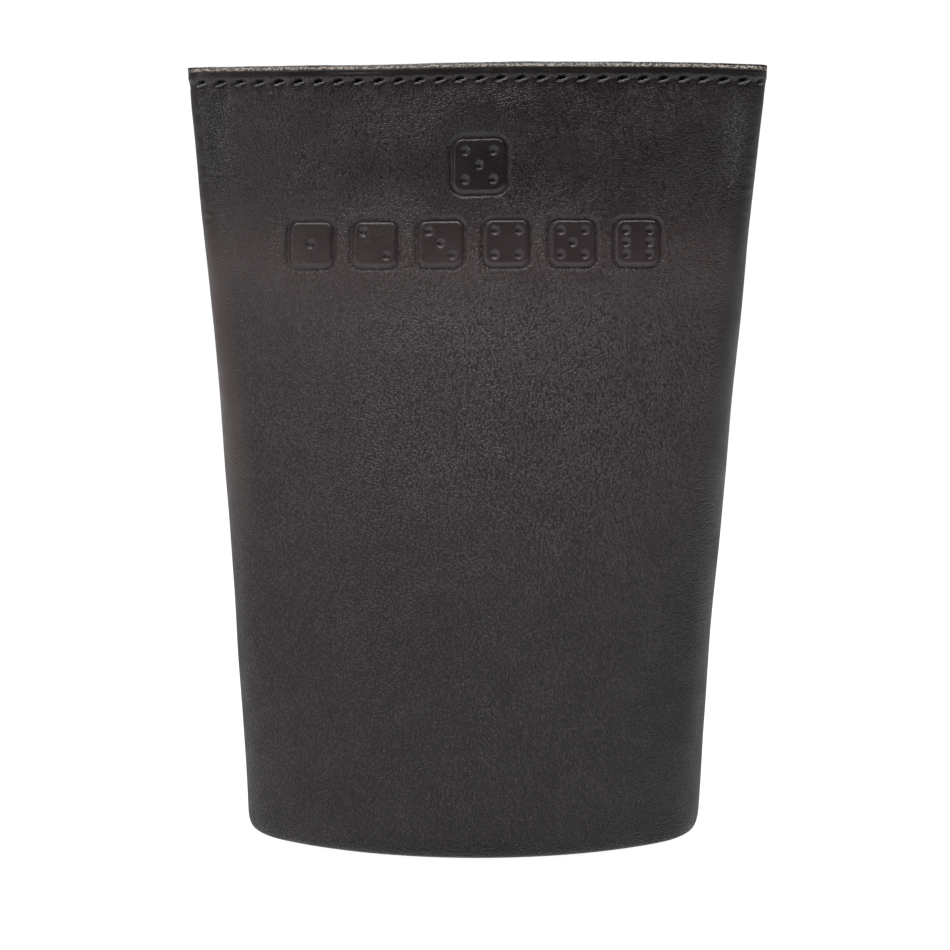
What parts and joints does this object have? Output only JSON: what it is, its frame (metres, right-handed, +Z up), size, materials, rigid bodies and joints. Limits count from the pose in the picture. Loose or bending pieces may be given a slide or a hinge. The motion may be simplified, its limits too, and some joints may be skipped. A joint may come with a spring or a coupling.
{
  "type": "leather dice cup",
  "caption": "Stitched leather dice cup with an oval base, a soft folding wall and a lens-shaped mouth that closes nearly flat.",
  "frame": {"origin": "on the table, under the middle of the oval base, in the plane of the sole's underside", "axes": "+Z up from the table to the rim, +X along the width of the mouth, -Y towards the front face, and the back seam on +Y"},
  "size_m": [0.099, 0.0509, 0.131],
  "materials": {
    "black_leather": "semi-gloss, fine pebble grain",
    "sole_leather": "matt, fine grain",
    "lining_leather": "matt, smooth",
    "suede_pad": "matt, napped suede",
    "fibre_board": "matt bonded leather board",
    "cotton_tape": "matt woven tape",
    "black_thread": "twisted polyester thread, slight sheen"
  },
  "bodies": {
    "root": {"outer_sleeve": "black_leather", "front_stiffener": "fibre_board", "rear_left_stiffener": "fibre_board", "rear_right_stiffener": "fibre_board", "rim_tape": "cotton_tape", "lining_sleeve": "lining_leather", "base_board": "fibre_board", "base_sole": "sole_leather", "insole_board": "fibre_board", "insole_pad": "suede_pad", "rim_stitches": "black_thread", "rim_bobbin_stitches": "black_thread", "seam_stitches": "black_thread", "seam_bobbin_stitches": "black_thread"}
  },
  "joints": []
}
